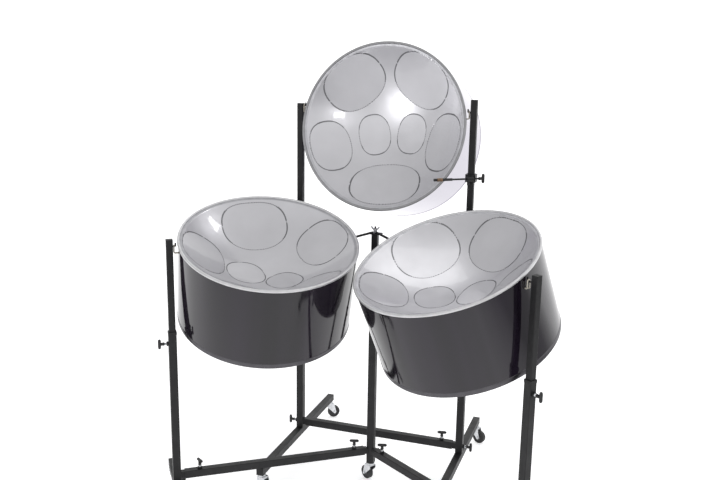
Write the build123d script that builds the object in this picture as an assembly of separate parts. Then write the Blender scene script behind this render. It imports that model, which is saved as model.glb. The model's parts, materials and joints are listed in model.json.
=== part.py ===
"""Set of three steel pans hung on a wheeled telescopic stand.

Millimetres and degrees. +Z is up and the player stands on the -Y side. While it is built, the
model's origin is on the floor below the centre post; at the end everything is moved so that the
origin lies on the floor under the middle of the whole set.
"""
from build123d import *
import math
import os

# ---- square tubes -------------------------------------------------------------------------------
OUTER = 25.4            # outer tube, across the flats
WALL = 1.5
BORE = OUTER - 2 * WALL
INNER = 21.0            # inner tube that slides in the outer one
STUB = 21.0             # spigot welded to a post, that slides into a bar
CORNER = 2.0
RUN = 0.05              # radial clearance of a turning fit

# ---- stand plan ---------------------------------------------------------------------------------
ARM_ANGLE = 35.1        # each front bar, in front of the X axis
ARM_SPAN = {"left": 671.0, "right": 704.0}      # centre post to a front post, as telescoped
BAR_LENGTH = 620.0      # both front bars are the same tube
REAR_YAW = -1.1         # turn of the rear frame about the centre post
REAR_SETBACK = 137.0    # centre post to the line of the rear posts
REAR_MIDDLE = -18.4     # middle of the rear frame, sideways from the centre post
REAR_HALF = 304.4       # middle of the rear frame to a rear post
REAR_FOOT = {"left": 682.0, "right": 629.0}     # length of a rear foot
FRONT_FOOT = 330.0      # length of the short foot under a front post
FOOT_SHORT = 12.0       # a rear foot ends this far behind the axis of the front bar above it
SADDLE_LONG = 24.0
STUB_SHOWS = 13.0       # spigot left bare between a post and its bar
STUB_IN = 110.0         # spigot inside the bar
WELD = 3.5              # weld bead between the centre post and its spigots
INNER_KNOB = 62.0       # T bolt at the inner end of a front bar, from the centre post's axis
OUTER_KNOB = 50.0       # T bolt at the outer end, from the end of the bar
CROSSBAR_KNOB = 65.0    # T bolt on the crossbar, from the right rear post's axis

# ---- stand heights ------------------------------------------------------------------------------
FOOT_Z = 68.0           # underside of the feet
FOOT_TOP = FOOT_Z + OUTER
SADDLE = 10.0           # block between a rear foot and the front bar
BAR_Z = FOOT_TOP + SADDLE + OUTER / 2
SLEEVE_TOP = 602.0
COLLAR = 9.0            # plastic bush at the mouth of a sleeve
SLEEVE_KNOB_Z = SLEEVE_TOP - 31.0
CENTRE_TOP = 889.0
FRONT_TOP = 906.5
REAR_TOP = {"left": 1297.5, "right": 1331.0}
FRONT_FOOT_OF_INNER = 330.0
REAR_FOOT_OF_INNER = 260.0
FRONT_HANG = 886.0      # height of the line that a front drum swings on
REAR_HANG = 1292.0

# ---- drums --------------------------------------------------------------------------------------
RIM_R = 286.0           # a 22.5 inch drum over its rolled rim
BEAD = 9.0              # rolled rim, wide and high
SKIRT_R = 283.0
SHEET = 1.2
SKIRT_LENGTH = 290.0
BOWL_R = 270.0          # where the bowl leaves the flat border
BOWL_DEPTH = 125.0
BORDER_DROP = 7.0
FRONT_CENTRE = {"left": 365.0, "right": 384.5}  # centre post to a front drum's middle, along the bar
REAR_SHIFT = -1.0       # the rear drum hangs a little left of the middle
LEFT_TILT = 18.9        # face normal from the vertical
RIGHT_TILT = 23.0
REAR_TILT = 75.8
FRONT_HANG_DEPTH = 24.0     # swing line below the rim plane
REAR_HANG_DEPTH = 17.0
REAR_HANG_ABOVE = 59.5      # swing line above the rear drum's middle
CORD_R = 1.75
HOOK_R = 2.5
ARM_R = 4.0                 # arms of the centre bracket, thicker than their hooks
ARM_STOPS = 14.0            # arm ends this far from the hook's tip
HOOK_GAP = 0.4              # cord to hook
HOOK_TO_SKIRT = 2.6
HOOK_RISE = 11.0
HOOK_BEND = 3.2
LOOP_DROP = 21.0            # hook line to the holes in the skirt
LOOP_BEND = 3.5
HOLE_R = 2.7

# ---- T bolts, casters, tilt stop ----------------------------------------------------------------
STUD_R = 4.0
STUD_GAP = 0.35         # stud tip to the tube that it clamps, when slack
BOSS_R = 7.5
BOSS_H = 6.0
T_SPAN = 33.0
T_HIGH = 10.0
T_WIDE = 11.0
T_TOTAL = 33.0
T_HUB_R = 6.0
WHEEL_R = 24.0
WHEEL_WIDE = 18.0
TRAIL = 19.0
AXLE_R = 3.0
STEM_R = 4.0
FORK_HALF = 11.5        # inside of a fork leg from the wheel's middle
FORK_PLATE = 2.0
CLAMP_Z = 1078.0
CLAMP_BLOCK = 34.0
CLAMP_HIGH = 26.0
CLAMP_GAP = 0.3
STOP_R = 3.0
STOP_TIP = 38.0         # rod beyond the rim that it stops
STOP_TAIL = 43.0        # rod behind the clamp, up to its cross head
STOP_GAP = 0.6          # sleeve to rim
STOP_CAP = 12.0         # rubber cap on the tip
STOP_CAP_R = 4.5
STOP_WRAP = 18.0        # brown wrap behind the cap
STOP_WRAP_R = 5.5
STOP_SLEEVE = 35.0      # rubber sleeve behind the wrap, that the rim leans on
STOP_SLEEVE_R = 4.5
LUG_R = 4.0             # bolt head under the clamp


# ---- small helpers ------------------------------------------------------------------------------
def polar(length, angle, z=0.0):
    """Point at a distance and plan angle from the centre post."""
    turn = math.radians(angle)
    return Vector(length * math.cos(turn), length * math.sin(turn), z)


def rear_point(x, y, z=0.0):
    """Point given in the turned rear frame, whose origin is the centre post."""
    return Vector(x, y, z).rotate(Axis.Z, REAR_YAW)


def tube(start, end, outer, bore, side=(0, 0, 1)):
    """Square tube from start to end, with two of its sides facing the side direction."""
    run = end - start
    plane = Plane(origin=start, x_dir=side, z_dir=run)
    outline = RectangleRounded(outer, outer, CORNER) - RectangleRounded(bore, bore, CORNER / 2)
    return extrude(plane * outline, amount=run.length)


def block(start, end, wide, side=(0, 0, 1), high=None):
    """Solid bar of rectangular section from start to end."""
    run = end - start
    plane = Plane(origin=start, x_dir=side, z_dir=run)
    return extrude(plane * Rectangle(high or wide, wide), amount=run.length)


def rod(start, end, radius):
    """Round bar from start to end."""
    run = end - start
    return extrude(Plane(origin=start, z_dir=run) * Circle(radius), amount=run.length)


def bent_rod(points, radius, bends):
    """Round bar through several points, bent to the given radii at its corners."""
    path = FilletPolyline(*points, radius=bends)
    return sweep(Plane(origin=path @ 0, z_dir=path % 0) * Circle(radius), path=path)


def side_of(direction):
    """Level direction at right angles to a level direction."""
    return Vector(-direction.Y, direction.X, 0)


# ---- stand --------------------------------------------------------------------------------------
def end_plug(end, inward):
    """Plastic plug in the end of a foot: a thin cap and the stem that fills the bore."""
    cap = block(end - inward * 2.5, end, OUTER)
    stem = block(end, end + inward * 9, BORE - 0.2)
    return cap + stem


def boss(face, outward):
    """Threaded boss, welded on a tube, that a T bolt screws through."""
    ring = rod(face, face + outward * BOSS_H, BOSS_R)
    return ring - rod(face - outward, face + outward * (BOSS_H + 1), STUD_R + RUN)


def stud_hole(face, outward):
    """Cutter for the hole in a tube wall under a boss."""
    return rod(face - outward * (WALL + 2), face + outward, STUD_R + RUN)


def foot(middle, direction, ahead, behind):
    """Foot tube with plugs and caster holes; returns its solids and the two caster places."""
    front = middle + direction * ahead
    back = middle - direction * behind
    body = tube(front, back, OUTER, BORE)
    seats = [front - direction * 15, back + direction * 15]
    for seat in seats:
        floor_of_tube = Vector(seat.X, seat.Y, FOOT_Z)
        body = body - rod(floor_of_tube - Vector(0, 0, 1), floor_of_tube + Vector(0, 0, 4), STEM_R + RUN)
    plugs = [end_plug(front, direction * -1), end_plug(back, direction)]
    return [body] + plugs, seats


def sleeve(base, top, side, knob_out, extra_holes=()):
    """Outer post with its plastic bush and the boss of its height T bolt."""
    face = Vector(base.X, base.Y, SLEEVE_KNOB_Z) + knob_out * (OUTER / 2)
    post = tube(base, Vector(base.X, base.Y, top), OUTER, BORE, side)
    post = post - stud_hole(face, knob_out)
    for hole_face, outward in extra_holes:
        post = post - stud_hole(hole_face, outward)
    mouth = Vector(base.X, base.Y, top)
    bush = tube(mouth, mouth + Vector(0, 0, COLLAR), OUTER + 1.6, INNER + 0.7, side)
    return [post, bush, boss(face, knob_out)]


def spigot(post_axis, outward, shows=STUB_SHOWS, gap=0.0):
    """Stub tube welded to a post, over which a bar slides."""
    start = Vector(post_axis.X, post_axis.Y, BAR_Z) + outward * (OUTER / 2)
    return tube(start + outward * gap, start + outward * (shows + STUB_IN), STUB, STUB - 2 * WALL)


def bar(start_axis, end_axis, length, knob_places):
    """Bar from beside one post towards another, with bosses on its top, and the bosses' faces."""
    run = (end_axis - start_axis).normalized()
    start = Vector(start_axis.X, start_axis.Y, BAR_Z) + run * (OUTER / 2 + STUB_SHOWS)
    body = tube(start, start + run * length, OUTER, BORE)
    up = Vector(0, 0, 1)
    faces = [Vector(start_axis.X, start_axis.Y, BAR_Z + OUTER / 2) + run * place for place in knob_places]
    for face in faces:
        body = body - stud_hole(face, up)
    return [body] + [boss(face, up) for face in faces], faces


def inner_post(axis, bottom, top, side):
    """Sliding inner tube with a plug in its top."""
    low = Vector(axis.X, axis.Y, bottom)
    high = Vector(axis.X, axis.Y, top)
    mouth = Plane(origin=high, x_dir=side, z_dir=(0, 0, 1))
    cap = extrude(mouth * RectangleRounded(INNER, INNER, CORNER), 2.5)
    stem = block(high - Vector(0, 0, 10), high, INNER - 2 * WALL - 0.2, side)
    return [tube(low, high, INNER, INNER - 2 * WALL, side), cap + stem]


def t_bolt(face, outward, reach, head_along):
    """T bolt: stud, hub and rounded cross head; reach is how far the stud goes behind the face."""
    plane = Plane(origin=face, x_dir=head_along, z_dir=outward)
    stud = rod(face - outward * reach, face + outward * (T_TOTAL - T_HIGH), STUD_R)
    hub_start = BOSS_H + 5
    hub = extrude(plane.offset(hub_start) * Circle(T_HUB_R), T_TOTAL - T_HIGH - hub_start)
    head = extrude(plane.offset(T_TOTAL - T_HIGH) * SlotOverall(T_SPAN, T_WIDE), T_HIGH)
    head = fillet(head.edges(), 1.8)
    return stud + hub + head


def caster(seat, trail_angle):
    """Swivel fork with its stem and axle, and the wheel; the seat is on the tube's underside."""
    swivel = Vector(seat.X, seat.Y, 0)
    trail = polar(1, trail_angle)
    across = side_of(trail)
    up = Vector(0, 0, 1)
    axle_mid = swivel + trail * TRAIL + up * WHEEL_R
    crown_z = FOOT_Z - 8.0
    stem = rod(swivel + up * (crown_z - 1), swivel + up * (FOOT_Z + 20), STEM_R)
    cup = rod(swivel + up * crown_z, swivel + up * (crown_z + 6.5), 13.0)
    crown = block(swivel - trail * 12 + up * (crown_z - 1.2), swivel + trail * 17 + up * (crown_z - 1.2),
                  2 * (FORK_HALF + FORK_PLATE), high=2.4)
    fork = stem + cup + crown
    for sign in (1, -1):
        plate_plane = Plane(origin=swivel + across * (sign * FORK_HALF), x_dir=trail, z_dir=across * sign)
        rise = 1 if plate_plane.y_dir.Z > 0 else -1
        outline = Polyline((-12, rise * crown_z), (17, rise * crown_z), (TRAIL + 7, rise * WHEEL_R),
                           (TRAIL, rise * (WHEEL_R - 7)), (TRAIL - 7, rise * WHEEL_R),
                           (-12, rise * (crown_z - 12)), close=True)
        fork = fork + extrude(plate_plane * make_face(outline), FORK_PLATE)
    half_axle = FORK_HALF + FORK_PLATE + 1.5
    fork = fork + rod(axle_mid - across * half_axle, axle_mid + across * half_axle, AXLE_R)
    for sign in (1, -1):
        nut_at = axle_mid + across * (sign * (FORK_HALF + FORK_PLATE))
        fork = fork + extrude(Plane(origin=nut_at, z_dir=across * sign) * RegularPolygon(5.0, 6), 3.0)
    half = WHEEL_WIDE / 2
    tread = extrude(Plane(origin=axle_mid - across * half, z_dir=across) * Circle(WHEEL_R), WHEEL_WIDE)
    tread = fillet(tread.edges(), 3.0)
    hub = rod(axle_mid - across * (half + 1.5), axle_mid + across * (half + 1.5), 7.0)
    wheel = tread + hub - rod(axle_mid - across * 20, axle_mid + across * 20, AXLE_R + RUN)
    return fork, wheel, axle_mid, across


# ---- drums, in their own frame: rim plane at Z = 0, face towards +Z, +Y up the slope ------------
def bowl_radius():
    """Radius of the sphere that the bowl is part of."""
    deep = BOWL_DEPTH - BORDER_DROP
    return (BOWL_R ** 2 + deep ** 2) / (2 * deep)


def make_pan():
    """Playing face: rolled rim, sloping border and hammered bowl."""
    ball = bowl_radius()
    centre_z = -BOWL_DEPTH + ball
    rim_in = RIM_R - BEAD
    half = math.asin(BOWL_R / ball) / 2
    edge_top = (BOWL_R, -BORDER_DROP)
    mid_top = (ball * math.sin(half), centre_z - ball * math.cos(half))
    low_top = (0, -BOWL_DEPTH)
    under = ball + SHEET
    under_edge_z = centre_z - math.sqrt(under ** 2 - BOWL_R ** 2)
    edge_low = (BOWL_R, under_edge_z)
    mid_low = (under * math.sin(half), centre_z - under * math.cos(half))
    low_low = (0, -BOWL_DEPTH - SHEET)
    curl = BEAD / 2
    outline = [
        ThreePointArc(low_top, mid_top, edge_top),
        Line(edge_top, (rim_in, -curl)),
        ThreePointArc((rim_in, -curl), (RIM_R - curl, 0), (RIM_R, -curl)),
        Line((RIM_R, -curl), (RIM_R, -BEAD)),
        Line((RIM_R, -BEAD), (rim_in, -BEAD)),
        Line((rim_in, -BEAD), edge_low),
        ThreePointArc(edge_low, mid_low, low_low),
        Line(low_low, low_top),
    ]
    return revolve(Plane.XZ * make_face(outline), Axis.Z)


def make_skirt(hang_above, hang_depth, tilt):
    """Side of the drum, with a hemmed lower edge and the holes that the cords pass through."""
    wall_in = SKIRT_R - SHEET
    wall = Pos(0, 0, -SKIRT_LENGTH) * extrude(Circle(SKIRT_R) - Circle(wall_in), SKIRT_LENGTH - BEAD)
    hem = Pos(0, 0, -SKIRT_LENGTH) * extrude(Circle(wall_in) - Circle(wall_in - 2.0), 5.0)
    skirt = wall + hem
    for place in loop_feet(hang_above, hang_depth, tilt):
        for sign in (1, -1):
            near = Vector(sign * (SKIRT_R - 40), place.Y, place.Z)
            far = Vector(sign * (SKIRT_R + 5), place.Y, place.Z)
            skirt = skirt - rod(near, far, HOLE_R)
    return skirt


def loop_half():
    """Half width of a cord loop, from the hook's axis to the cord's."""
    return HOOK_R + HOOK_GAP + CORD_R


def loop_axes(tilt):
    """World up and the level sideways direction, in the drum's own frame."""
    turn = math.radians(tilt)
    return Vector(0, math.sin(turn), math.cos(turn)), Vector(0, math.cos(turn), -math.sin(turn))


def loop_feet(hang_above, hang_depth, tilt):
    """Places where the two strands of a loop go through the skirt; X is left at zero."""
    up, sideways = loop_axes(tilt)
    hook = Vector(0, hang_above, -hang_depth)
    return [hook - up * LOOP_DROP + sideways * (sign * loop_half()) for sign in (1, -1)]


def loop_x(hang_above, tilt):
    """Distance of the cord loops from the drum's middle, with the hook between loop and skirt."""
    low = hang_above - LOOP_DROP * math.sin(math.radians(tilt))
    return math.sqrt(SKIRT_R ** 2 - low ** 2) + HOOK_TO_SKIRT + 2 * HOOK_R + HOOK_GAP + CORD_R


def make_cords(hang_above, hang_depth, tilt):
    """The two cord loops of one drum, each round a hook and through two holes."""
    up, sideways = loop_axes(tilt)
    out_x = loop_x(hang_above, tilt)
    half = loop_half()
    loops = []
    for sign in (1, -1):
        hook = Vector(sign * out_x, hang_above, -hang_depth)
        inward = Vector(-sign, 0, 0)
        foot_mid = hook - up * LOOP_DROP
        wall_x = math.sqrt((SKIRT_R - SHEET) ** 2 - foot_mid.Y ** 2)
        depth = out_x - wall_x + 5.5
        crest = hook + up * half
        points = [crest + sideways * half, crest - sideways * half, foot_mid - sideways * half,
                  foot_mid - sideways * half + inward * depth, foot_mid + sideways * half + inward * depth,
                  foot_mid + sideways * half]
        radii = [half - 0.05, half - 0.05, LOOP_BEND, LOOP_BEND, LOOP_BEND, LOOP_BEND]
        path = FilletPolyline(*points, radius=radii, close=True)
        start = path @ 0
        section = Plane(origin=start, z_dir=path % 0) * Circle(CORD_R)
        loops.append(sweep(section, path=path))
    return loops


def balance_depth(pan, skirt):
    """Depth of the drum's centre of mass below the rim plane."""
    moment = pan.volume * pan.center().Z + skirt.volume * skirt.center().Z
    return -moment / (pan.volume + skirt.volume)


def drum_plane(hang_mid, facing, tilt, hang_above, hang_depth):
    """The drum's frame in the stand, from its swing line, the way it faces and its tilt."""
    turn = math.radians(tilt)
    normal = facing * math.sin(turn) + Vector(0, 0, math.cos(turn))
    right = side_of(facing)
    upslope = normal.cross(right)
    origin = hang_mid - upslope * hang_above + normal * hang_depth
    return Plane(origin=origin, x_dir=right, z_dir=normal)


# ---- build --------------------------------------------------------------------------------------
nodes = {}
bolts = {}
casters = {}
UP = Vector(0, 0, 1)
centre = Vector(0, 0, 0)
arm_out = {"left": polar(1, 180 + ARM_ANGLE), "right": polar(1, -ARM_ANGLE)}
front_axis = {side: out * ARM_SPAN[side] for side, out in arm_out.items()}
rear_back = rear_point(0, 1)
rear_right = rear_point(1, 0)
rear_x = {"left": REAR_MIDDLE - REAR_HALF, "right": REAR_MIDDLE + REAR_HALF}
rear_axis = {side: rear_point(x, REAR_SETBACK) for side, x in rear_x.items()}
rear_out = {"left": rear_right * -1, "right": rear_right}


def add_bolt(name, face, outward, reach, head_along):
    """Store a T bolt and the axis that it turns on."""
    nodes[name] = [t_bolt(face, outward, reach, head_along)]
    bolts[name] = (face, outward)


def add_caster(name, seat, trail_angle):
    """Store a caster's fork and wheel, and the axes that they turn on."""
    fork, wheel, axle, across = caster(seat, trail_angle)
    nodes["caster_fork_" + name] = [fork]
    nodes["caster_wheel_" + name] = [wheel]
    casters[name] = (Vector(seat.X, seat.Y, FOOT_Z), axle, across)


SLEEVE_REACH = (OUTER - INNER) / 2 - STUD_GAP
BAR_REACH = (OUTER - STUB) / 2

# Centre post, with a caster stem plugged into its lower end.
centre_out = rear_back
centre_solids = sleeve(centre + UP * FOOT_Z, SLEEVE_TOP, centre_out, centre_out)
plug = block(centre + UP * FOOT_Z, centre + UP * (FOOT_Z + 24), BORE - 0.2, centre_out)
plug = plug - rod(centre + UP * (FOOT_Z - 1), centre + UP * (FOOT_Z + 21), STEM_R + RUN)
centre_solids += [plug]
nodes["inner_post_centre"] = inner_post(centre, FRONT_FOOT_OF_INNER, CENTRE_TOP, centre_out)
centre_face = centre + UP * SLEEVE_KNOB_Z + centre_out * (OUTER / 2)
add_bolt("t_bolt_centre_height", centre_face, centre_out, SLEEVE_REACH, rear_right)
add_caster("centre", centre + UP * FOOT_Z, 145)

# Front bars, posts and short feet.
front_trails = {"left": (-60, 35), "right": (-115, 140)}
for side, out in arm_out.items():
    axis = front_axis[side]
    across_bar = side_of(out)
    to_player = across_bar if across_bar.Y < 0 else across_bar * -1
    weld_at = UP * BAR_Z + out * (OUTER / 2)
    weld = block(weld_at, weld_at + out * WELD, 14.0)
    centre_solids += [spigot(centre, out, gap=WELD), weld]
    span = ARM_SPAN[side]
    bare = span - OUTER - STUB_SHOWS - BAR_LENGTH
    knob_places = (INNER_KNOB, span - bare - OUTER / 2 - OUTER_KNOB)
    nodes["front_bar_" + side], faces = bar(centre, axis, BAR_LENGTH, knob_places)
    for place, face in zip(("inner", "outer"), faces):
        head_along = polar(1, 15 if place == "inner" else -35)
        add_bolt("t_bolt_bar_" + side + "_" + place, face, UP, BAR_REACH, head_along)
    post = sleeve(axis + UP * FOOT_TOP, SLEEVE_TOP, out, out)
    nodes["outer_post_front_" + side] = post + [spigot(axis, out * -1, shows=bare)]
    face = axis + UP * SLEEVE_KNOB_Z + out * (OUTER / 2)
    add_bolt("t_bolt_front_" + side + "_height", face, out, SLEEVE_REACH, UP)
    foot_mid = axis + UP * (FOOT_Z + OUTER / 2)
    solids, seats = foot(foot_mid, to_player, FRONT_FOOT / 2, FRONT_FOOT / 2)
    nodes["front_foot_" + side] = solids
    for place, seat, trail_angle in zip(("front", "back"), seats, front_trails[side]):
        add_caster("front_foot_" + side + "_" + place, seat, trail_angle)
nodes["outer_post_centre"] = centre_solids

# Rear crossbar, posts and long feet; each foot's front end carries a front bar on a saddle.
crossbar_length = 2 * REAR_HALF - OUTER - 2 * STUB_SHOWS
nodes["rear_crossbar"], faces = bar(rear_axis["right"], rear_axis["left"], crossbar_length, (CROSSBAR_KNOB,))
add_bolt("t_bolt_crossbar", faces[0], UP, BAR_REACH, polar(1, 10))
rear_trails = {"left": (-15, 40), "right": (-20, -20)}
for side, out in rear_out.items():
    axis = rear_axis[side]
    side_face = axis + UP * BAR_Z + out * (OUTER / 2)
    post = sleeve(axis + UP * FOOT_TOP, SLEEVE_TOP, out, out, [(side_face, out)])
    nodes["outer_post_rear_" + side] = post + [spigot(axis, out * -1), boss(side_face, out)]
    add_bolt("t_bolt_rear_" + side + "_side", side_face, out, WALL + 0.5, UP)
    face = axis + UP * SLEEVE_KNOB_Z + out * (OUTER / 2)
    add_bolt("t_bolt_rear_" + side + "_height", face, out, SLEEVE_REACH, UP)
    nodes["inner_post_rear_" + side] = inner_post(axis, REAR_FOOT_OF_INNER, REAR_TOP[side], out)
    arm = arm_out[side].rotate(Axis.Z, -REAR_YAW)
    crossing_y = rear_x[side] / arm.X * arm.Y
    ahead = REAR_SETBACK - crossing_y - FOOT_SHORT
    foot_mid = axis + UP * (FOOT_Z + OUTER / 2)
    solids, seats = foot(foot_mid, rear_back * -1, ahead, REAR_FOOT[side] - ahead)
    crossing = arm_out[side] * (rear_x[side] / arm.X)
    saddle_end = crossing + UP * FOOT_TOP + rear_back * FOOT_SHORT
    saddle = block(saddle_end, saddle_end + rear_back * SADDLE_LONG, OUTER - 2, high=SADDLE)
    saddle = Pos(0, 0, SADDLE / 2) * saddle
    nodes["rear_foot_" + side] = solids + [saddle]
    for place, seat, trail_angle in zip(("front", "back"), seats, rear_trails[side]):
        add_caster("rear_foot_" + side + "_" + place, seat, trail_angle)

# Drums and their cords.
pan = make_pan()
plain_skirt = make_skirt(0, FRONT_HANG_DEPTH, 0)
balance = balance_depth(pan, plain_skirt)


def balanced_offset(tilt):
    """Swing line's distance up the slope, so that the drum hangs at this tilt by itself."""
    return (balance - FRONT_HANG_DEPTH) * math.tan(math.radians(tilt))


drum_setup = {
    "left": (arm_out["left"] * FRONT_CENTRE["left"] + UP * FRONT_HANG, polar(1, ARM_ANGLE - 90),
             LEFT_TILT, balanced_offset(LEFT_TILT), FRONT_HANG_DEPTH),
    "right": (arm_out["right"] * FRONT_CENTRE["right"] + UP * FRONT_HANG, polar(1, -90 - ARM_ANGLE),
              RIGHT_TILT, balanced_offset(RIGHT_TILT), FRONT_HANG_DEPTH),
    "rear": (rear_point(REAR_MIDDLE + REAR_SHIFT, REAR_SETBACK, REAR_HANG), rear_back * -1,
             REAR_TILT, REAR_HANG_ABOVE, REAR_HANG_DEPTH),
}
drum_planes = {}
for name, (hang_mid, facing, tilt, above, depth) in drum_setup.items():
    plane = drum_plane(hang_mid, facing, tilt, above, depth)
    drum_planes[name] = plane
    nodes["pan_" + name] = [plane * pan]
    nodes["skirt_" + name] = [plane * make_skirt(above, depth, tilt)]
    nodes["cord_loops_" + name] = [plane * loop for loop in make_cords(above, depth, tilt)]

# Hooks: on the inner posts, and on the ends of the centre bracket's arms.
tip_inset = CORD_R + HOOK_GAP + HOOK_R
rear_loop = loop_x(REAR_HANG_ABOVE, REAR_TILT)
bracket = extrude(Plane(origin=UP * (CENTRE_TOP + 2.5), x_dir=rear_right, z_dir=(0, 0, 1))
                  * RectangleRounded(46, 30, 4), 3.0)
bracket = bracket + rod(UP * (CENTRE_TOP + 4), UP * (CENTRE_TOP + 28), 3.0)
for side, out in arm_out.items():
    loop = loop_x(drum_setup[side][3], drum_setup[side][2])
    middle = FRONT_CENTRE[side]
    tip = middle - loop + tip_inset
    arm_end = out * (tip - ARM_STOPS) + UP * FRONT_HANG
    bracket = bracket + rod(out * 8 + UP * (CENTRE_TOP + 8.2), arm_end, ARM_R)
    hook_points = [arm_end - out * 4, out * tip + UP * FRONT_HANG, out * tip + UP * (FRONT_HANG + HOOK_RISE)]
    bracket = bracket + bent_rod(hook_points, HOOK_R, [HOOK_BEND])
    axis = front_axis[side]
    solids = inner_post(axis, FRONT_FOOT_OF_INNER, FRONT_TOP, out)
    far_tip = middle + loop - tip_inset
    hook = bent_rod([out * (ARM_SPAN[side] - INNER / 2) + UP * FRONT_HANG, out * far_tip + UP * FRONT_HANG,
                     out * far_tip + UP * (FRONT_HANG + HOOK_RISE)], HOOK_R, [HOOK_BEND])
    nodes["inner_post_front_" + side] = solids + [hook]
nodes["centre_bracket"] = [bracket]
for side, out in rear_out.items():
    sign = 1 if side == "right" else -1
    tip = sign * (rear_loop - tip_inset) + REAR_MIDDLE + REAR_SHIFT
    root = sign * (REAR_HALF - INNER / 2) + REAR_MIDDLE
    hook = bent_rod([rear_point(root, REAR_SETBACK, REAR_HANG), rear_point(tip, REAR_SETBACK, REAR_HANG),
                     rear_point(tip, REAR_SETBACK, REAR_HANG + HOOK_RISE)], HOOK_R, [HOOK_BEND])
    nodes["inner_post_rear_" + side].append(hook)

# Wing nut that clamps the centre bracket.
nut_z = CENTRE_TOP + 8.3
wing_nut = rod(UP * nut_z, UP * (nut_z + 13), 6.5)
for sign in (1, -1):
    lug = Plane(origin=UP * (nut_z + 6) - rear_back * 1.2, x_dir=rear_right * sign, z_dir=rear_back)
    rise = 1 if lug.y_dir.Z > 0 else -1
    outline = Polyline((4, 0), (11, rise * 4), (17, rise * 14), (11, rise * 13), (4, rise * 6), close=True)
    wing_nut = wing_nut + extrude(lug * make_face(outline), 2.4)
nodes["wing_nut"] = [wing_nut - rod(UP * (nut_z - 5), UP * (nut_z + 30), 3.0 + RUN)]

# Tilt stop: a clamp on the right rear post and the straight rod that the rear drum leans on.
rear_post = rear_axis["right"]
stop_plane = drum_planes["rear"]
slope = (CLAMP_Z - stop_plane.origin.Z) / stop_plane.y_dir.Z
chord = math.sqrt((RIM_R - BEAD / 2) ** 2 - slope ** 2)
rim_at = stop_plane.origin + stop_plane.x_dir * chord + stop_plane.y_dir * slope
rim_at = rim_at - stop_plane.z_dir * (BEAD / 2)
rim_at = Vector(rim_at.X, rim_at.Y, CLAMP_Z)
boss_at = rear_post - rear_back * (INNER / 2 + 14.0) + UP * CLAMP_Z
along = (rim_at - boss_at).normalized()
forward = side_of(along)
forward = forward if forward.Y < 0 else forward * -1
stand_off = BEAD / 2 * 1.25 + STOP_SLEEVE_R + STOP_GAP
reach = (rim_at - boss_at).length
swing_in = math.degrees(math.asin(stand_off / reach))
along = along.rotate(Axis.Z, -swing_in if forward.cross(along).Z > 0 else swing_in)
tip = boss_at + along * (reach + STOP_TIP)
tail = boss_at - along * STOP_TAIL
clamp = block(rear_post + UP * (CLAMP_Z - CLAMP_HIGH / 2), rear_post + UP * (CLAMP_Z + CLAMP_HIGH / 2),
              CLAMP_BLOCK, rear_right)
clamp = clamp + rod(boss_at - along * 12, boss_at + along * 12, 9.0)
clamp = clamp + rod(boss_at + along * 5 - UP * 8, boss_at + along * 5 - UP * 21, LUG_R)
clamp = clamp - block(rear_post + UP * (CLAMP_Z - 40), rear_post + UP * (CLAMP_Z + 40),
                      INNER + 2 * CLAMP_GAP, rear_right)
clamp = clamp - rod(boss_at - along * 60, boss_at + along * 60, STOP_R + RUN)
nodes["tilt_clamp"] = [clamp]
covers = []
cover_start = 0.0
for length, radius in ((STOP_CAP, STOP_CAP_R), (STOP_WRAP, STOP_WRAP_R), (STOP_SLEEVE, STOP_SLEEVE_R)):
    cover_end = cover_start + length
    cover = rod(tip - along * cover_end, tip - along * cover_start, radius)
    covers.append(cover - rod(tip - along * (cover_end + 1), tip - along * 2, STOP_R))
    cover_start = cover_end
stop_rod = rod(tail, tip - along * 2, STOP_R)
head_plane = Plane(origin=tail - along * T_HIGH, x_dir=UP, z_dir=along)
head = extrude(head_plane * SlotOverall(T_SPAN, T_WIDE), T_HIGH)
head = fillet(head.edges(), 1.8)
nodes["tilt_stop_rod"] = [stop_rod, head] + covers

# ---- move the origin under the middle of the set, and write the parts ---------------------------
for node_name, shapes in nodes.items():
    nodes[node_name] = [piece for shape in shapes for piece in shape.solids()]
whole = Compound(children=[Compound(children=list(solids)) for solids in nodes.values()])
whole_box = whole.bounding_box()
SHIFT = Vector(-(whole_box.min.X + whole_box.max.X) / 2, -(whole_box.min.Y + whole_box.max.Y) / 2,
               -whole_box.min.Z)

if __name__ == "__main__":
    os.makedirs("parts", exist_ok=True)
    for name, solids in nodes.items():
        moved = [Pos(*SHIFT) * solid for solid in solids]
        export_step(Compound(label=name, children=moved), os.path.join("parts", name + ".step"))
    print("cord radius", CORD_R, "tightest bends", round(loop_half() - 0.05, 2), LOOP_BEND)
    print("nodes", len(nodes), "box", whole_box.size, "shift", SHIFT, "balance", round(balance, 1))
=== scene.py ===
"""Looks for a set of three steel pans on a wheeled telescopic stand.

Metres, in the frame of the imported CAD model. The playing faces, rims, skirts, T bolts, caster wheels
and stop rod get finer meshes than the CAD solids. The rest keeps its CAD nodes and only gets materials.
"""
import bmesh
import bpy
import json
import math
import numpy as np
from mathutils import Matrix, Vector
from mathutils.geometry import delaunay_2d_cdt


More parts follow.
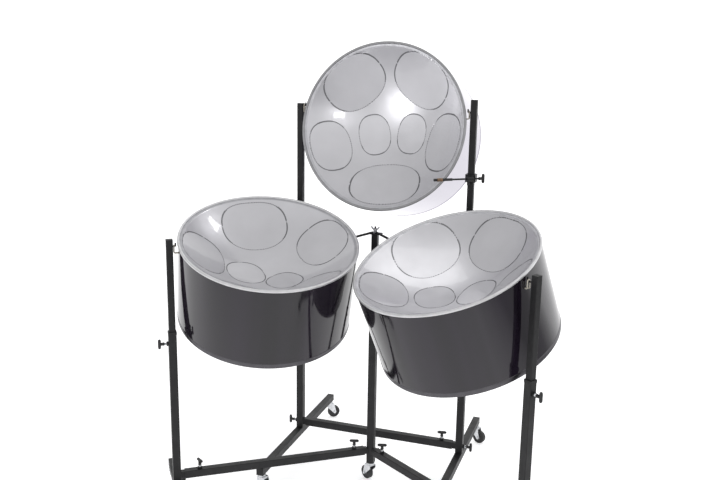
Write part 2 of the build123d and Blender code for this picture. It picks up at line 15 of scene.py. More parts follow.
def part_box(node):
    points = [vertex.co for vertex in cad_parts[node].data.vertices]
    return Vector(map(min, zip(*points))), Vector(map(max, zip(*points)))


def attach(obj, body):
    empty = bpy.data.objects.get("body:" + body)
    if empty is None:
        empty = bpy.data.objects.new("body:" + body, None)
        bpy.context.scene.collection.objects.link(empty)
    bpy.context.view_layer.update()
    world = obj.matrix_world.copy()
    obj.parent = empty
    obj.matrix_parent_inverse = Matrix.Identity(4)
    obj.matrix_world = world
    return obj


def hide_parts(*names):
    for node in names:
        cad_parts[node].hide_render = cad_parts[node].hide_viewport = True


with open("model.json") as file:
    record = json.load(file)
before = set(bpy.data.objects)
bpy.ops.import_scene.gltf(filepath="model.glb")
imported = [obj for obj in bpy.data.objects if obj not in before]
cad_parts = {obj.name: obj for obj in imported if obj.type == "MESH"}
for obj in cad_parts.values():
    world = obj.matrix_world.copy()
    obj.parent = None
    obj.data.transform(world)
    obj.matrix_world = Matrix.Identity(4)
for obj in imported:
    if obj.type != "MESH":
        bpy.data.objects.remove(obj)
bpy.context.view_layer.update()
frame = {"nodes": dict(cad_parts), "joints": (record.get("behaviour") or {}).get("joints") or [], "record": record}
NODES = frame["nodes"]
JOINTS = {joint["name"]: joint for joint in frame["joints"]}
BODY_OF = {node: body for body, members in frame["record"]["behaviour"]["bodies"].items() for node in members}
MM = 0.001

# ---- places read from the frame -------------------------------------------------------------------
SIDES = ("left", "right", "rear")


def middle_of(node):
    """Middle of a node's box."""
    low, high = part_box(node)
    return (low + high) / 2


def vertices_of(node):
    """A CAD node's vertices as an array."""
    mesh = NODES[node].data
    places = np.empty(len(mesh.vertices) * 3)
    mesh.vertices.foreach_get("co", places)
    return places.reshape(-1, 3)


def drum_matrix(side, joint):
    """Drum frame: origin at the middle of the rim plane, Z out of the face, X along the swing axis."""
    places = vertices_of("pan_" + side)
    middle = places.mean(axis=0)
    spread = np.linalg.svd(places - middle, full_matrices=False)[2]
    normal = Vector(spread[2])
    if normal.z < 0:
        normal.negate()
    x_dir = Vector(JOINTS[joint]["axis"])
    x_dir = (x_dir - normal * x_dir.dot(normal)).normalized()
    y_dir = normal.cross(x_dir)
    rise = max((places - middle) @ np.array(normal))
    origin = Vector(middle) + normal * rise
    turn = Matrix((x_dir, y_dir, normal)).transposed().to_4x4()
    return Matrix.Translation(origin) @ turn


DRUMS = {}
for side, joint in zip(SIDES, ("left_drum_swing", "right_drum_swing", "rear_drum_tilt")):
    DRUMS[side] = drum_matrix(side, joint)

# ---- drum sizes -----------------------------------------------------------------------------------
RIM_R = 286 * MM
BEAD = 9 * MM
SKIRT_R = 283 * MM
SKIRT_LENGTH = 290 * MM
BOWL_R = 270 * MM
BOWL_DEPTH = 125 * MM
BORDER_DROP = 7 * MM
SHEET = 1.2 * MM
GROOVE_HALF = 1.6 * MM
GROOVE_DEPTH = 0.7 * MM
SQUARENESS = 2.35       # of a note's outline: 2 is an ellipse
FLATTENING = 0.6        # how much of the bowl's curve a note takes out
HEM = 16 * MM           # folded band along the lower edge of a skirt
HEM_PROUD = 0.7 * MM
SHARP = math.radians(35)

BALL_DEEP = BOWL_DEPTH - BORDER_DROP
BALL = (BOWL_R ** 2 + BALL_DEEP ** 2) / (2 * BALL_DEEP)

# Notes of each pan: angle of the note's middle from +X in degrees, its distance from the pan's middle,
# half width across the radius and half height along it, in millimetres.
NOTES = {
    "left": [
        (93, 187, 110, 76), (15, 196, 92, 72), (173, 203, 90, 66), (-120, 202, 88, 66),
        (-58, 203, 84, 66), (-171, 72, 62, 60), (-60, 82, 56, 54),
    ],
    "right": [
        (159, 193, 106, 80), (84, 190, 108, 76), (-131, 204, 88, 64), (13, 203, 84, 66),
        (-60, 203, 86, 66), (-122, 64, 62, 60), (14, 76, 62, 58),
    ],
    "rear": [
        (130, 197, 108, 74), (57, 197, 106, 74), (-160, 205, 88, 60), (-11, 204, 98, 62),
        (-86, 190, 122, 72), (-165, 60, 71, 54), (-5, 75, 69, 52),
    ],
}


# ---- materials ------------------------------------------------------------------------------------
class Graph:
    """Small helper for building a procedural material."""

    def __init__(self, name, colour, metallic=0.0, roughness=0.5, **sockets):
        self.material = bpy.data.materials.new(name)
        self.material.use_nodes = True
        self.tree = self.material.node_tree
        self.shader = self.tree.nodes["Principled BSDF"]
        self.shader.inputs["Base Color"].default_value = (*colour, 1)
        self.shader.inputs["Metallic"].default_value = metallic
        self.shader.inputs["Roughness"].default_value = roughness
        for socket, value in sockets.items():
            self.shader.inputs[socket.replace("_", " ")].default_value = value

    def node(self, kind, **values):
        made = self.tree.nodes.new(kind)
        for key, value in values.items():
            if key in made.inputs:
                made.inputs[key].default_value = value
            else:
                setattr(made, key, value)
        return made

    def link(self, a, b):
        self.tree.links.new(a, b)

    def noise(self, scale, detail=3.0, stretch=(1, 1, 1)):
        place = self.node("ShaderNodeTexCoord")
        mapping = self.node("ShaderNodeMapping")
        mapping.inputs["Scale"].default_value = stretch
        texture = self.node("ShaderNodeTexNoise", Scale=scale, Detail=detail)
        self.link(place.outputs["Object"], mapping.inputs["Vector"])
        self.link(mapping.outputs["Vector"], texture.inputs["Vector"])
        return texture.outputs["Fac"]

    def ramp(self, value, low, high, start=0.3, end=0.7):
        """Map a noise value to a number between low and high."""
        made = self.node("ShaderNodeMapRange")
        made.inputs["From Min"].default_value = start
        made.inputs["From Max"].default_value = end
        made.inputs["To Min"].default_value = low
        made.inputs["To Max"].default_value = high
        self.link(value, made.inputs["Value"])
        return made.outputs["Result"]

    def tint(self, value, dark, light, start=0.3, end=0.7):
        """Map a noise value to a colour between dark and light."""
        made = self.node("ShaderNodeValToRGB")
        made.color_ramp.elements[0].position = start
        made.color_ramp.elements[1].position = end
        made.color_ramp.elements[0].color = (*dark, 1)
        made.color_ramp.elements[1].color = (*light, 1)
        self.link(value, made.inputs["Fac"])
        return made.outputs["Color"]

    def bump(self, value, height, below=None):
        """Bump of the given height in metres."""
        made = self.node("ShaderNodeBump", Strength=1.0, Distance=height)
        self.link(value, made.inputs["Height"])
        if below is not None:
            self.link(below, made.inputs["Normal"])
        return made.outputs["Normal"]


def shades(colour, darker, lighter):
    """A darker and a lighter shade of a colour."""
    return tuple(c * darker for c in colour), tuple(c * lighter for c in colour)


def powder_coat(name, colour, roughness):
    """Black powder coat: fine orange peel and slightly uneven gloss."""
    g = Graph(name, colour, 0.0, roughness, IOR=1.4)
    g.link(g.tint(g.noise(60, 4), *shades(colour, 0.8, 1.25)), g.shader.inputs["Base Color"])
    g.link(g.ramp(g.noise(25, 4), roughness - 0.06, roughness + 0.08), g.shader.inputs["Roughness"])
    g.link(g.bump(g.noise(1400, 2), 0.00008), g.shader.inputs["Normal"])
    return g.material


def brushed(name, colour, roughness, bump=0.00003, scale=120):
    """Plated metal with a soft mottled gloss."""
    g = Graph(name, colour, 1.0, roughness)
    g.link(g.tint(g.noise(scale / 3, 4), *shades(colour, 0.9, 1.08)), g.shader.inputs["Base Color"])
    g.link(g.ramp(g.noise(scale, 4), roughness - 0.05, roughness + 0.08), g.shader.inputs["Roughness"])
    g.link(g.bump(g.noise(scale * 5, 2), bump), g.shader.inputs["Normal"])
    return g.material


def pan_face_material():
    """Satin plate under a gloss lacquer on hammered sheet: faint ripples and uneven gloss."""
    colour = (0.50, 0.496, 0.52)
    g = Graph("pan_face", colour, 0.6, 0.36, Coat_Weight=0.9, Coat_Roughness=0.05)
    g.link(g.tint(g.noise(9, 3), *shades(colour, 0.96, 1.04)), g.shader.inputs["Base Color"])
    g.link(g.ramp(g.noise(30, 4), 0.32, 0.42), g.shader.inputs["Roughness"])
    ripples = g.bump(g.noise(16, 1), 0.0005)
    g.link(ripples, g.shader.inputs["Normal"])
    g.link(ripples, g.shader.inputs["Coat Normal"])
    return g.material


def skirt_material(name, colour, ior, metallic, contrast):
    """Mirror finish on rolled sheet: faint upright streaks and a little waviness."""
    g = Graph(name, colour, metallic, 0.07, IOR=ior)
    streaks = g.noise(9, 5, (1, 1, 0.03))
    tones = shades(colour, 1 - contrast, 1 + contrast)
    g.link(g.tint(streaks, *tones, 0.35, 0.65), g.shader.inputs["Base Color"])
    g.link(g.ramp(g.noise(18, 4), 0.05, 0.11), g.shader.inputs["Roughness"])
    waves = g.bump(g.noise(7, 2, (1, 1, 0.1)), 0.0010)
    g.link(g.bump(g.noise(40, 2, (1, 1, 0.05)), 0.00012, waves), g.shader.inputs["Normal"])
    return g.material


def rubber(name, colour, roughness):
    """Matt dark rubber or plastic with a fine grain."""
    g = Graph(name, colour, 0.0, roughness)
    g.link(g.tint(g.noise(90, 4), *shades(colour, 0.75, 1.3)), g.shader.inputs["Base Color"])
    g.link(g.ramp(g.noise(60, 3), roughness - 0.08, roughness + 0.08), g.shader.inputs["Roughness"])
    g.link(g.bump(g.noise(900, 2), 0.00006), g.shader.inputs["Normal"])
    return g.material


def cord_material():
    """Pale braided cord: a fine diagonal weave."""
    colour = (0.62, 0.58, 0.50)
    g = Graph("cord", colour, 0.0, 0.75, Sheen_Weight=0.3)
    place = g.node("ShaderNodeTexCoord")
    weave = g.node("ShaderNodeTexVoronoi", Scale=700.0)
    g.link(place.outputs["Object"], weave.inputs["Vector"])
    fibres = g.tint(weave.outputs["Distance"], *shades(colour, 0.6, 1.1), 0.0, 0.6)
    g.link(fibres, g.shader.inputs["Base Color"])
    g.link(g.bump(weave.outputs["Distance"], 0.0003), g.shader.inputs["Normal"])
    return g.material


BLACK = powder_coat("stand_black", (0.011, 0.011, 0.012), 0.5)
BRACKET = powder_coat("bracket_black", (0.008, 0.008, 0.009), 0.38)
KNOB = rubber("knob_black", (0.010, 0.010, 0.011), 0.42)
WRAP = rubber("stop_wrap_brown", (0.22, 0.13, 0.07), 0.65)
HUB = rubber("caster_hub_grey", (0.10, 0.10, 0.105), 0.45)
TREAD = rubber("caster_tread", (0.020, 0.020, 0.021), 0.6)
ZINC = brushed("zinc", (0.62, 0.63, 0.65), 0.28)
FACE = pan_face_material()
# Darker grey laid on the grooves: painted shade in the creases
GROOVE_PAINTED_SHADE = brushed("pan_groove_painted_shade", (0.19, 0.19, 0.20), 0.5)
BORDER = brushed("pan_border", (0.44, 0.44, 0.46), 0.55)
# One rolled rim in two shades: paler on the front pans as a painted highlight, darker on the rear pan as painted
# shade
RIM_PAINTED_HIGHLIGHT = brushed("pan_rim_painted_highlight", (0.66, 0.66, 0.67), 0.42)
RIM_PAINTED_SHADE = brushed("pan_rim_painted_shade", (0.34, 0.34, 0.35), 0.42)
CHROME = skirt_material("skirt_chrome", (0.010, 0.007, 0.013), 1.54, 0.0, 0.6)
# The skirts' mirror finish painted pale for the rear drum: a painted reflection of the bright studio, with the
# lavender tint of the finish itself
SKIRT_PAINTED_REFLECTION = skirt_material("skirt_chrome_painted_reflection", (0.37, 0.35, 0.41), 1.5, 1.0, 0.06)
HEM_DARK = brushed("skirt_hem", (0.10, 0.097, 0.105), 0.3)
CORD = cord_material()


def set_material(node, material):
    """Give a CAD node one material."""
    data = NODES[node].data
    data.materials.clear()
    data.materials.append(material)


for node in NODES:
    if node.startswith("caster_fork") or node == "wing_nut":
        set_material(node, ZINC)
    elif node.startswith("cord_loops"):
        set_material(node, CORD)
    elif node in ("tilt_clamp", "centre_bracket"):
        set_material(node, BRACKET)
    elif not node.startswith(("pan_", "skirt_", "t_bolt", "caster_wheel", "tilt_stop_rod")):
        set_material(node, BLACK)


# ---- playing faces --------------------------------------------------------------------------------
def plate_height(radius):
    """Height of the bowl or of its border below the rim plane."""
    if radius < BOWL_R:
        return BALL - BOWL_DEPTH - math.sqrt(BALL ** 2 - radius ** 2)
    lip = RIM_R - BEAD
    share = min(1.0, (radius - BOWL_R) / (lip - BOWL_R))
    return -BORDER_DROP + share * (BORDER_DROP - BEAD * 0.45)


def note_offset(note, x, y):
    """How far out a place is in a note's own ellipse: 0 in the middle, 1 on its groove."""
    angle, distance, half_wide, half_high = note
    turn = math.radians(angle)
    along = x * math.cos(turn) + y * math.sin(turn) - distance * MM
    across = -x * math.sin(turn) + y * math.cos(turn)
    share = abs(along / (half_high * MM)) ** SQUARENESS + abs(across / (half_wide * MM)) ** SQUARENESS
    return share ** (1 / SQUARENESS)


def groove_distance(note, x, y):
    """How far a place is from a note's groove: negative inside the note."""
    return (note_offset(note, x, y) - 1) * min(note[2], note[3]) * MM


def note_lift(note, x, y):
    """Dome of a note and the groove around it, added to the plate's height."""
    half_wide, half_high = note[2:]
    out = note_offset(note, x, y)
    edge = groove_distance(note, x, y)
    lift = 0.0
    if out < 1:
        lift += FLATTENING * half_wide * half_high * MM ** 2 / (2 * BALL) * (1 - out ** 2)
    if abs(edge) < GROOVE_HALF:
        lift -= GROOVE_DEPTH * (1 + math.cos(math.pi * edge / GROOVE_HALF)) / 2
    return lift


def face_height(notes, x, y):
    """Height of the playing surface at a place in the drum's frame."""
    return plate_height(math.hypot(x, y)) + sum(note_lift(note, x, y) for note in notes)


def rounded(value):
    """A sine or cosine bent so that the two of them follow a note's outline."""
    return math.copysign(abs(value) ** (2 / SQUARENESS), value)


GRID = 5.5 * MM         # between the vertices of a playing face
GRID_ROW = 0.866        # of the step, between rows of a triangular grid
GROOVE_RINGS = (-2.2, -1.0, -0.5, 0.0, 0.5, 1.0, 2.2)       # across a groove, in its half widths
GROOVE_STEPS = 100
BORDER_STEPS = 256
CLEAR_OF_BORDER = 5 * MM
CLEAR_OF_GROOVE = 4.2 * MM
PLATE, SHADED_LINE, EDGE = range(3)        # material of a part of the playing face; the groove line is painted shade


def face_points(notes):
    """Places for the vertices of a playing face: rings at each groove and a grid between them."""
    points = []
    for note in notes:
        angle, distance, half_wide, half_high = note
        turn = math.radians(angle)
        short = min(half_wide, half_high) * MM
        for edge in GROOVE_RINGS:
            scale = 1 + edge * GROOVE_HALF / short
            for k in range(GROOVE_STEPS):
                t = 2 * math.pi * (k + 0.5 * (edge != 0)) / GROOVE_STEPS
                along = distance * MM + half_high * MM * scale * rounded(math.cos(t))
                across = half_wide * MM * scale * rounded(math.sin(t))
                points.append((along * math.cos(turn) - across * math.sin(turn),
                               along * math.sin(turn) + across * math.cos(turn)))
    for radius in (BOWL_R - 2 * MM, BOWL_R, BOWL_R + 2 * MM, RIM_R - BEAD):
        for k in range(BORDER_STEPS):
            t = 2 * math.pi * k / BORDER_STEPS
            points.append((radius * math.cos(t), radius * math.sin(t)))
    rows = int(BOWL_R / (GRID * GRID_ROW)) + 1
    for row in range(-rows, rows + 1):
        y = row * GRID * GRID_ROW
        for column in range(-rows, rows + 1):
            x = (column + 0.5 * (row % 2)) * GRID
            if math.hypot(x, y) > BOWL_R - CLEAR_OF_BORDER:
                continue
            if min(abs(groove_distance(note, x, y)) for note in notes) > CLEAR_OF_GROOVE:
                points.append((x, y))
    return points


def make_face(side):
    """Playing face with domed notes, grooves and border, out to the rolled rim."""
    notes = NOTES[side]
    flat = face_points(notes)
    result = delaunay_2d_cdt([Vector(p) for p in flat], [], [], 0, 1e-6)
    verts = [Vector((p.x, p.y, face_height(notes, p.x, p.y))) for p in result[0]]
    mesh = bpy.data.meshes.new("pan_face_" + side)
    faces = [tuple(f) for f in result[2]]
    marks = []
    for f in faces:
        centre = sum((verts[i] for i in f), Vector()) / 3
        edge = min(abs(groove_distance(note, centre.x, centre.y)) for note in notes)
        if math.hypot(centre.x, centre.y) > BOWL_R:
            marks.append(EDGE)
        else:
            # Faces along a groove get the darker groove material, painted shade in the crease
            marks.append(SHADED_LINE if edge < GROOVE_HALF * 0.8 else PLATE)
    mesh.from_pydata(verts, [], faces)
    mesh.materials.append(FACE)
    mesh.materials.append(GROOVE_PAINTED_SHADE)
    mesh.materials.append(BORDER)
    mesh.polygons.foreach_set("material_index", marks)
    mesh.polygons.foreach_set("use_smooth", [True] * len(faces))
    normals = []
    step = 0.3 * MM
    for v in verts:
        dx = (face_height(notes, v.x + step, v.y) - face_height(notes, v.x - step, v.y)) / (2 * step)
        dy = (face_height(notes, v.x, v.y + step) - face_height(notes, v.x, v.y - step)) / (2 * step)
        normals.append(Vector((-dx, -dy, 1)).normalized())
    mesh.normals_split_custom_set_from_vertices(normals)
    return bpy.data.objects.new("pan_face_" + side, mesh)


def lathe(name, profile, steps, material, close=True):
    """Smooth solid of revolution about Z, from a closed profile of (radius, height) points."""
    mesh = bpy.data.meshes.new(name)
    count = len(profile)
    verts = []
    for k in range(steps):
        t = 2 * math.pi * k / steps
        verts += [(r * math.cos(t), r * math.sin(t), z) for r, z in profile]
    faces = []
    for k in range(steps):
        a = k * count
        b = ((k + 1) % steps) * count
        for i in range(count if close else count - 1):
            j = (i + 1) % count
            faces.append((a + i, b + i, b + j, a + j))
    mesh.from_pydata(verts, [], faces)
    mesh.materials.append(material)
    mesh.polygons.foreach_set("use_smooth", [True] * len(faces))
    made = bpy.data.objects.new(name, mesh)
    bm = bmesh.new()
    bm.from_mesh(mesh)
    bmesh.ops.recalc_face_normals(bm, faces=bm.faces)
    bm.to_mesh(mesh)
    bm.free()
    mesh.set_sharp_from_angle(angle=SHARP)
    return made


def arc(middle, radius, start, end, count):
    """Points of a circular arc in a profile, angles in degrees."""
    return [(middle[0] + radius * math.cos(math.radians(start + (end - start) * k / (count - 1))),
             middle[1] + radius * math.sin(math.radians(start + (end - start) * k / (count - 1))))
            for k in range(count)]


def place(obj, matrix, node, slot):
    """Put a piece made in its own frame where the CAD node that it stands for is."""
    bpy.context.scene.collection.objects.link(obj)
    obj.matrix_world = matrix
    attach(obj, BODY_OF[node])
    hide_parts(node)
    return obj


HAIR = 0.4 * MM         # first radius of an open profile, so that it needs no cap
SEAM = 0.5 * MM         # between a skirt's wall and its hem
HEM_EDGE = 1.5 * MM     # rounding of a hem
HEM_IN = 2 * MM         # thickness of a hem inside the skirt

for side in SIDES:
    at = DRUMS[side]
    pan = "pan_" + side
    skirt = "skirt_" + side
    place(make_face(side), at, pan, "pan_face")
    curl = BEAD / 2
    ring = arc((RIM_R - curl, -curl), curl, 0, 360, 25)[:-1]
    # The rear pan's rim gets the painted shade, the front pans' rims the painted highlight
    rim = lathe("pan_rim_" + side, ring, 288, RIM_PAINTED_SHADE if side == "rear" else RIM_PAINTED_HIGHLIGHT)
    place(rim, at, pan, "pan_face")
    under = [(r, plate_height(r) - SHEET) for r in [BOWL_R * k / 24 for k in range(1, 25)]]
    under = [(HAIR, plate_height(0) - SHEET)] + under + [(RIM_R - BEAD, -BEAD * 0.6)]
    place(lathe("pan_underside_" + side, under, 128, FACE, close=False), at, pan, "pan_face")
    wall_in = SKIRT_R - SHEET
    low = -SKIRT_LENGTH
    wall_low = low + HEM - SEAM
    wall = [(SKIRT_R, -BEAD), (SKIRT_R, wall_low), (wall_in, wall_low), (wall_in, -BEAD)]
    # The rear drum's skirt and hem take the pale painted reflection; the front drums keep the dark mirror finish
    tube = lathe("skirt_wall_" + side, wall, 360, SKIRT_PAINTED_REFLECTION if side == "rear" else CHROME)
    place(tube, at, skirt, "skirt_chrome")
    hem_out = SKIRT_R + HEM_PROUD
    hem_top = low + HEM + 0.6 * MM
    hem = [(SKIRT_R - 0.4 * MM, hem_top), (hem_out - 0.4 * MM, low + HEM), (hem_out, low + HEM - MM)]
    hem += arc((hem_out - HEM_EDGE, low + HEM_EDGE), HEM_EDGE, 0, -90, 6)
    hem += [(wall_in - HEM_IN, low), (wall_in - HEM_IN, low + HEM), (wall_in, hem_top)]
    band = lathe("skirt_hem_" + side, hem, 360, SKIRT_PAINTED_REFLECTION if side == "rear" else HEM_DARK)
    place(band, at, skirt, "skirt_chrome")


# ---- T bolts, stop rod and wheels -------------------------------------------------------------------
T_HALF_SPAN = 16.4 * MM
T_HALF_WIDE = 5.4 * MM
T_HIGH = 10 * MM
T_RINGS = 17
T_AROUND = 20
HUB_LONG = 10 * MM      # moulded hub under the T
# Radius and height of the hub, from the underside of the T, in millimetres.
HUB_PROFILE = ((6.0, -10.0), (5.6, -9.0), (4.9, -2.0), (5.2, 1.5))
HUB_STEPS = 24
STUD_R = 4 * MM
THREAD_PITCH = 1.25 * MM
AXIS_HAIR = 0.3 * MM    # first radius of a solid closed profile
WHEEL_R = 24 * MM
WHEEL_HALF = 9 * MM
STOP_ROD_R = 3 * MM
STOP_COVERS = (("cap", 0, 12, 4.5, KNOB), ("wrap", 12, 30, 5.5, WRAP), ("sleeve", 30, 65, 4.5, KNOB))
COVER_EDGE = 0.8 * MM


def node_frame(node, joint, along):
    """Frame with Z along a joint's axis and X along the far end's longest direction across it."""
    z_dir = Vector(JOINTS[joint]["axis"]).normalized() * along
    origin = Vector(JOINTS[joint]["pos_m"])
    places = vertices_of(node) - np.array(origin)
    heights = places @ np.array(z_dir)
    top = places[heights > heights.max() - 0.8 * T_HIGH]
    flat = top - np.outer(top @ np.array(z_dir), np.array(z_dir))
    x_dir = Vector(np.linalg.svd(flat - flat.mean(axis=0), full_matrices=False)[2][0])
    x_dir = (x_dir - z_dir * x_dir.dot(z_dir)).normalized()
    turn = Matrix((x_dir, z_dir.cross(x_dir), z_dir)).transposed().to_4x4()
    return Matrix.Translation(origin) @ turn, float(heights.min()), float(heights.max())


def skin(bm, loops):
    """Faces between neighbouring loops of vertices."""
    for one, two in zip(loops, loops[1:]):
        for i in range(len(one)):
            j = (i + 1) % len(one)
            bm.faces.new((one[i], one[j], two[j], two[i]))


def cross_head(name, low, high, material):
    """Rounded T grip: a bar with full ends and a narrower waist, on a tapered hub."""
    bm = bmesh.new()
    middle = (low + high) / 2
    half_high = (high - low) / 2
    loops = []
    for k in range(T_RINGS):
        t = -1 + 2 * k / (T_RINGS - 1)
        x = T_HALF_SPAN * math.sin(t * math.pi / 2)
        end = math.sqrt(max(0.0, 1 - (abs(x) / T_HALF_SPAN) ** 6))
        waist = 0.86 + 0.14 * (x / T_HALF_SPAN) ** 2
        loop = []
        for i in range(T_AROUND):
            a = 2 * math.pi * i / T_AROUND
            y = T_HALF_WIDE * end * waist * rounded(math.cos(a))
            loop.append(bm.verts.new((x, y, middle + half_high * end * rounded(math.sin(a)))))
        loops.append(loop)
    skin(bm, loops)
    bmesh.ops.remove_doubles(bm, verts=bm.verts, dist=1e-6)
    hub = []
    for radius, height in HUB_PROFILE:
        loop = []
        for i in range(HUB_STEPS):
            a = 2 * math.pi * i / HUB_STEPS
            x = radius * MM * math.cos(a)
            y = radius * MM * math.sin(a)
            loop.append(bm.verts.new((x, y, low + height * MM)))
        hub.append(loop)
    skin(bm, hub)
    bm.faces.new(hub[0])
    bmesh.ops.recalc_face_normals(bm, faces=bm.faces)
    mesh = bpy.data.meshes.new(name)
    bm.to_mesh(mesh)
    bm.free()
    mesh.materials.append(material)
    mesh.polygons.foreach_set("use_smooth", [True] * len(mesh.polygons))
    mesh.set_sharp_from_angle(angle=SHARP)
    return bpy.data.objects.new(name, mesh)


def threaded(name, low, high, radius, material):
    """Threaded stud: rings as close as the pitch of the thread."""
    turns = max(2, int((high - low) / THREAD_PITCH))
    root = radius - 0.7 * MM
    profile = [(AXIS_HAIR, low), (radius - 0.8 * MM, low)]
    for k in range(turns):
        at = low + (high - low) * (k + 0.5) / turns
        profile += [(root, at - THREAD_PITCH * 0.3), (radius, at)]
    profile += [(root, high), (AXIS_HAIR, high)]
    return lathe(name, profile, 20, material)


def mirrored(profile):
    """The same profile, the other way up and in the other order."""
    return [(r, -z) for r, z in reversed(profile)]


def tread_profile():
    """Tyre of a caster wheel, with rounded shoulders and a step down to the hub."""
    low = -WHEEL_HALF
    half = [(8 * MM, low + 1.5 * MM), (WHEEL_R - 7 * MM, low + 1.5 * MM), (WHEEL_R - 6 * MM, low)]
    half += arc((WHEEL_R - 3 * MM, low + 3 * MM), 3 * MM, -90, 0, 6)
    return half + [(WHEEL_R, 0)] + mirrored(half)


def hub_profile():
    """Hub of a caster wheel, with a bore for the axle."""
    half = [(3.05 * MM, -10.5 * MM), (7 * MM, -10.5 * MM), (7 * MM, -7 * MM), (9 * MM, -6.5 * MM)]
    return half + mirrored(half)


def cover_profile(low, high, radius):
    """Solid cover with rounded ends."""
    flat = radius - COVER_EDGE
    profile = [(AXIS_HAIR, low), (flat, low)]
    profile += arc((flat, low + COVER_EDGE), COVER_EDGE, -90, 0, 5)
    profile += arc((flat, high - COVER_EDGE), COVER_EDGE, 0, 90, 5)
    return profile + [(AXIS_HAIR, high)]


for node in NODES:
    if node.startswith("t_bolt"):
        at, low, high = node_frame(node, node + "_turn", 1)
        head_low = high - T_HIGH
        place(cross_head("grip_" + node, head_low, high, KNOB), at, node, "knob_black")
        stud = threaded("stud_" + node, low, head_low - 0.6 * HUB_LONG, STUD_R, ZINC)
        place(stud, at, node, "wing_nut_zinc")
    elif node.startswith("caster_wheel"):
        at = node_frame(node, "spin_" + node[len("caster_wheel_"):], 1)[0]
        place(lathe("tread_" + node, tread_profile(), 72, TREAD), at, node, "caster_wheel")
        place(lathe("hub_" + node, hub_profile(), 32, HUB), at, node, "caster_wheel")

# The rod's frame has its tip low and its T head high.
at, tip_end, head_end = node_frame("tilt_stop_rod", "stop_rod_turn", -1)
head_low = head_end - T_HIGH
place(cross_head("stop_rod_grip", head_low, head_end, KNOB), at, "tilt_stop_rod", "knob_black")
bare_low = tip_end + 2 * MM
bare = [(AXIS_HAIR, bare_low), (STOP_ROD_R, bare_low), (STOP_ROD_R, head_low), (AXIS_HAIR, head_low)]
place(lathe("stop_rod_bar", bare, 32, BRACKET), at, "tilt_stop_rod", "stop_rod")
for name, start, end, radius, material in STOP_COVERS:
    profile = cover_profile(tip_end + start * MM, tip_end + end * MM, radius * MM)
    place(lathe("stop_rod_" + name, profile, 40, material), at, "tilt_stop_rod", "stop_rod")

# ---- stage ----------------------------------------------------------------------------------------
FLOOR_HALF = 30.0
FLOOR_PALE = (0.93, 0.93, 0.94)
FLOOR_PAINTED_SHADE = (0.42, 0.42, 0.43)
FLOOR_GLOW = (0.03, 0.5)        # emission where the floor has painted shade and where it is pale


def floor_material():
    """Pale plain floor with painted shade, dimmer and glowing less in front and at the right for the skirts to
    mirror.

    The camera sees neither of the dimmer parts.
    """
    g = Graph("floor_white_painted_shade", FLOOR_PALE, 0.0, 0.7, Emission_Color=(1, 1, 1, 1), Emission_Strength=0.5)
    spot = g.node("ShaderNodeTexCoord")
    spot_axes = g.node("ShaderNodeSeparateXYZ")
    g.link(spot.outputs["Object"], spot_axes.inputs["Vector"])
    # Painted shade: the floor fades to a dim grey in front and at the right
    from_front = g.ramp(spot_axes.outputs["Y"], 0.45, 1.0, -2.4, -0.7)
    from_right = g.ramp(spot_axes.outputs["X"], 1.0, 0.0, 1.1, 2.3)
    far_behind = g.ramp(spot_axes.outputs["Y"], 0.0, 1.0, 0.9, 2.6)
    beside = g.node("ShaderNodeMath", operation="MAXIMUM")
    g.link(from_right, beside.inputs[0])
    g.link(far_behind, beside.inputs[1])
    fade = g.node("ShaderNodeMath", operation="MINIMUM")
    g.link(from_front, fade.inputs[0])
    g.link(beside.outputs["Value"], fade.inputs[1])
    glow = g.ramp(fade.outputs["Value"], *FLOOR_GLOW, 0.0, 1.0)
    g.link(glow, g.shader.inputs["Emission Strength"])
    shade = g.tint(fade.outputs["Value"], FLOOR_PAINTED_SHADE, FLOOR_PALE, 0.0, 1.0)
    g.link(shade, g.shader.inputs["Base Color"])
    return g.material


floor_mesh = bpy.data.meshes.new("floor")
corners = [(x * FLOOR_HALF, y * FLOOR_HALF, 0) for x, y in ((-1, -1), (1, -1), (1, 1), (-1, 1))]
floor_mesh.from_pydata(corners, [], [(0, 1, 2, 3)])
floor = bpy.data.objects.new("floor", floor_mesh)
bpy.context.scene.collection.objects.link(floor)
floor_mesh.materials.append(floor_material())

world = bpy.data.worlds.new("studio")
bpy.context.scene.world = world
world.use_nodes = True
sky = world.node_tree
sky.nodes["Background"].inputs["Color"].default_value = (1.0, 1.0, 1.0, 1)
direction = sky.nodes.new("ShaderNodeTexCoord")
axes = sky.nodes.new("ShaderNodeSeparateXYZ")
sky.links.new(direction.outputs["Generated"], axes.inputs["Vector"])


def sky_range(value, from_low, from_high, to_low, to_high):
    """Part of the sky's strength, from one direction component."""
    made = sky.nodes.new("ShaderNodeMapRange")
    made.inputs["From Min"].default_value = from_low
    made.inputs["From Max"].default_value = from_high
    made.inputs["To Min"].default_value = to_low
    made.inputs["To Max"].default_value = to_high
    sky.links.new(value, made.inputs["Value"])
    return made.outputs["Result"]


def sky_sum(a, b):
    """Sum of two strengths."""
    made = sky.nodes.new("ShaderNodeMath")
    sky.links.new(a, made.inputs[0])
    sky.links.new(b, made.inputs[1])
    return made.outputs["Value"]


ahead_of_camera = sky_range(axes.outputs["Y"], -0.7, 0.5, 0.95, 1.20)
overhead = sky_range(axes.outputs["Z"], 0.55, 1.0, 0.0, -0.2)
horizon = sky_range(axes.outputs["Z"], 0.0, 0.5, 0.22, 0.0)
from_left = sky_range(axes.outputs["X"], -0.8, -0.2, -0.35, 0.0)
strength = sky_sum(sky_sum(ahead_of_camera, overhead), sky_sum(horizon, from_left))
sky.links.new(strength, sky.nodes["Background"].inputs["Strength"])


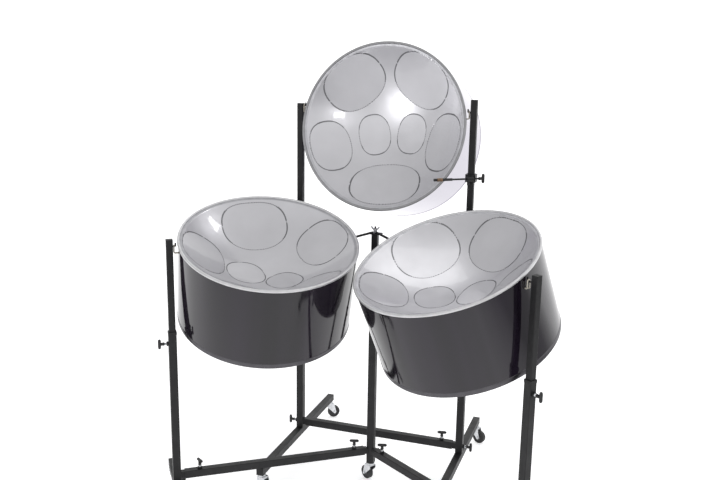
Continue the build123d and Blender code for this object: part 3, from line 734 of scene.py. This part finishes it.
def softbox(name, place_at, aim, wide, high, power):
    """Area light pointed at a place."""
    data = bpy.data.lights.new(name, "AREA")
    data.shape = "RECTANGLE"
    data.size = wide
    data.size_y = high
    data.energy = power
    made = bpy.data.objects.new(name, data)
    made.location = place_at
    made.rotation_euler = (Vector(aim) - Vector(place_at)).to_track_quat("-Z", "Y").to_euler()
    bpy.context.scene.collection.objects.link(made)
    return made


# Name, the pans it lights, place, aim, width, height and power. No other piece receives these lights.
LIGHTS = (
    ("window_left", ("left", "rear"), (-1.35, -2.43, 1.05), (0, 0.24, 1.3), 0.8, 0.8, 26),
    ("window_back", ("rear", "left"), (1.5, 0.95, 2.9), (-0.5, -0.2, 0.9), 0.55, 0.5, 9),
    ("window_right", ("rear",), (1.66, -2.15, 1.62), (-0.2, 0.2, 1.25), 0.6, 0.3, 8),
    ("overhead_right", ("right",), (0.22, 0.3, 2.6), (0.3, -0.2, 0.85), 1.9, 1.8, 15),
)
for name, sides, place_at, aim, wide, high, power in LIGHTS:
    lit = bpy.data.collections.new("lit_by_" + name)
    for side in sides:
        lit.objects.link(bpy.data.objects["pan_face_" + side])
    softbox(name, place_at, aim, wide, high, power).light_linking.receiver_collection = lit

# ---- camera, placed from the centre post ------------------------------------------------------------
EYE = Vector((0.8055, -2.7315, 1.5267))
YAW = math.radians(-17.44)
PITCH = math.radians(-12.99)
ROLL = math.radians(-0.918)
LENS = 44.0
SENSOR = 36.0
centre_post = middle_of("inner_post_centre")
ahead = Vector((math.sin(YAW) * math.cos(PITCH), math.cos(YAW) * math.cos(PITCH), math.sin(PITCH)))
level = Vector((math.cos(YAW), -math.sin(YAW), 0))
down = ahead.cross(level)
right = level * math.cos(ROLL) + down * math.sin(ROLL)
over = right.cross(ahead)
camera_data = bpy.data.cameras.new("camera")
camera_data.lens = LENS
camera_data.sensor_width = SENSOR
camera_data.clip_end = 200
camera = bpy.data.objects.new("camera", camera_data)
basis = Matrix((right, over, -ahead)).transposed().to_4x4()
camera.matrix_world = Matrix.Translation(Vector((centre_post.x, centre_post.y, 0)) + EYE) @ basis
bpy.context.scene.collection.objects.link(camera)
bpy.context.scene.camera = camera
bpy.context.scene.view_settings.view_transform = "Standard"
